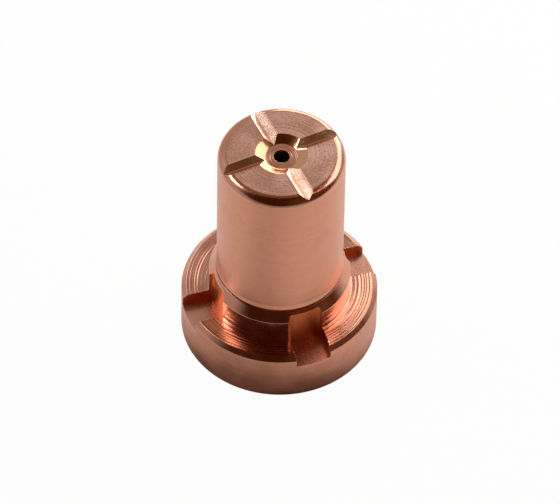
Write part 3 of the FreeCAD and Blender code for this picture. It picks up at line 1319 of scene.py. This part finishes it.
@dataclass
class Studio:
    """Pale floor, soft surroundings and the camera."""

    floor_radius: float = 90.0
    floor_gap: float = 0.01
    floor_colour: Colour = (0.85, 0.84, 0.83)
    front_fade: Tuple[float, float] = (-34.0, -22.0)
    front_dim: float = 0.08
    foot_shade: Tuple[float, float] = (6.6, 8.4)
    front_shade: float = 0.3
    floor_sheen: float = 0.95
    camera_share: float = 0.97
    metal_share: float = 0.3
    base: Colour = (0.47, 0.44, 0.42)
    glows: Tuple[Glow, ...] = (
        Glow((0.0, 0.10, 0.99), 22.0, 40.0, (0.20, 0.10, 0.045)),
        Glow((-0.05, -0.75, 0.60), 42.0, 66.0, (0.045, 0.014, 0.005)),
        Glow((0.80, -0.45, 0.40), 30.0, 50.0, (0.10, 0.04, 0.015)),
    )
    softboxes: Tuple[Softbox, ...] = (
        Softbox("softbox_back_right", (0.58, 0.42, 0.70), 75.0, 76.0, 40.0, 1.7),
        Softbox("softbox_low_back", (0.30, 0.90, 0.28), 150.0, 110.0, 60.0, 2.6),
        Softbox("softbox_left", (-0.60, 0.16, 0.78), 150.0, 42.0, 42.0, 4.5),
        Softbox("lamp_warm", (0.553, -0.10, 0.827), 150.0, 16.0, 16.0, 2.0, (1.0, 0.72, 0.40)),
        Softbox("key", (0.30, 0.60, 0.74), 200.0, 60.0, 60.0, 12.0, seen_in_metal=False),
    )
    elevation_deg: float = 50.35
    distance: float = 573.0
    aim_height: float = 8.45
    roll_deg: float = 1.0
    lens: float = 468.6

    def build_world(self) -> None:
        """Surround the nozzle with soft light and dark, and white behind it."""
        world = bpy.data.worlds.new("studio")
        bpy.context.scene.world = world
        world.use_nodes = True
        tree = NodeBench(world.node_tree)
        tree.clear()
        direction = tree.add("ShaderNodeTexCoord").outputs["Generated"]
        colour: object = self.base
        for glow in self.glows:
            near = tree.add("ShaderNodeVectorMath")
            near.operation = "DOT_PRODUCT"
            tree.link(direction, near.inputs[0])
            near.inputs[1].default_value = Vector(glow.towards).normalized()
            share = tree.map_range(near.outputs["Value"],
                                   math.cos(math.radians(glow.outer_deg)),
                                   math.cos(math.radians(glow.inner_deg)), 0.0, 1.0)
            colour = tree.mix_colours(colour, glow.colour, share)
        seen = tree.add("ShaderNodeLightPath").outputs["Is Camera Ray"]
        shown = tree.mix_colours(colour, (1.0, 1.0, 1.0), seen)
        background = tree.add("ShaderNodeBackground")
        tree.link(shown, background.inputs["Color"])
        output = tree.add("ShaderNodeOutputWorld")
        tree.link(background.outputs[0], output.inputs["Surface"])

    def build_floor(self, level: float) -> bpy.types.Object:
        """Lay the pale floor.

        Args:
            level: Height of the nozzle's seat face in metres.

        Returns:
            The floor.
        """
        sides = 96
        angles = np.linspace(0, 2 * math.pi, sides, endpoint=False)
        rim = [(self.floor_radius * MM * math.cos(a), self.floor_radius * MM * math.sin(a),
                level - self.floor_gap * MM) for a in angles]
        mesh = bpy.data.meshes.new("floor")
        mesh.from_pydata(rim, [], [tuple(range(sides))])
        mesh.materials.append(self._floor_material())
        floor = bpy.data.objects.new("floor", mesh)
        bpy.context.scene.collection.objects.link(floor)
        return floor

    def _floor_material(self) -> bpy.types.Material:
        """Pale matt floor that reads white behind the nozzle and fades towards the front.

        Returns:
            The material, clear from beneath.
        """
        material = bpy.data.materials.new("floor_pale")
        material.use_nodes = True
        tree = NodeBench(material.node_tree)
        tree.clear()
        matt = tree.add("ShaderNodeBsdfDiffuse")
        matt.inputs["Color"].default_value = (*self.floor_colour, 1.0)
        split = tree.add("ShaderNodeSeparateXYZ")
        tree.link(tree.millimetres(), split.inputs[0])
        x, y, _ = split.outputs
        front = tree.map_range(y, *self.front_fade, self.front_dim, 1.0)
        reach = tree.math("SQRT", tree.math("ADD", tree.multiply(x, x), tree.multiply(y, y)))
        shade = tree.multiply(tree.math("MINIMUM", y, 0.0), self.front_shade)
        outside = tree.map_range(tree.math("ADD", reach, shade), *self.foot_shade, 0.0, 1.0)
        path = tree.add("ShaderNodeLightPath")
        camera, glossy = path.outputs["Is Camera Ray"], path.outputs["Is Glossy Ray"]
        glow = tree.add("ShaderNodeEmission")
        sheen = tree.multiply(tree.multiply(front, outside), self.floor_sheen)
        tree.link(tree.mix_numbers(sheen, 1.0, camera), glow.inputs["Strength"])
        share = tree.math("MAXIMUM", tree.multiply(camera, self.camera_share),
                          tree.multiply(glossy, self.metal_share))
        blend = tree.add("ShaderNodeMixShader")
        tree.link(share, blend.inputs[0])
        tree.link(matt.outputs[0], blend.inputs[1])
        tree.link(glow.outputs[0], blend.inputs[2])
        beneath = tree.add("ShaderNodeNewGeometry").outputs["Backfacing"]
        clear = tree.add("ShaderNodeBsdfTransparent")
        sided = tree.add("ShaderNodeMixShader")
        tree.link(beneath, sided.inputs[0])
        tree.link(blend.outputs[0], sided.inputs[1])
        tree.link(clear.outputs[0], sided.inputs[2])
        output = tree.add("ShaderNodeOutputMaterial")
        tree.link(sided.outputs[0], output.inputs["Surface"])
        return material

    def build_camera(self) -> bpy.types.Object:
        """Set up the camera with its long lens.

        Returns:
            The scene's camera.
        """
        data = bpy.data.cameras.new("camera")
        data.lens = self.lens
        data.sensor_width = 36.0
        data.clip_start, data.clip_end = 0.01, 10.0
        camera = bpy.data.objects.new("camera", data)
        bpy.context.scene.collection.objects.link(camera)
        elevation = math.radians(self.elevation_deg)
        back = Vector((0.0, -math.cos(elevation), math.sin(elevation)))
        target = Vector((0.0, 0.0, self.aim_height * MM))
        turn = (-back).to_track_quat("-Z", "Y").to_matrix().to_4x4()
        roll = Matrix.Rotation(math.radians(self.roll_deg), 4, "Z")
        camera.matrix_world = (Matrix.Translation(target + back * self.distance * MM)
                               @ turn @ roll)
        bpy.context.scene.camera = camera
        return camera

    def build(self, level: float) -> None:
        """Build world, floor, softboxes and camera.

        Args:
            level: Height of the nozzle's seat face in metres.
        """
        self.build_world()
        self.build_floor(level)
        for softbox in self.softboxes:
            softbox.build(Vector((0.0, 0.0, self.aim_height * MM)))
        self.build_camera()
        bpy.context.scene.view_settings.view_transform = "Standard"


def main() -> None:
    """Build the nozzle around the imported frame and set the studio."""
    logging.basicConfig(level=logging.INFO, format="%(name)s: %(message)s")
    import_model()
    low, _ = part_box("nozzle")

    nozzle = TorchNozzle()
    piece = nozzle.build()
    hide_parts("nozzle")
    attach(piece, "root")
    triangles = sum(len(face.vertices) - 2 for face in piece.data.polygons)
    LOG.info("%s: %d faces, %d triangles", piece.name, len(piece.data.polygons), triangles)

    Studio().build(low.z)


if __name__ == "__main__":
    main()
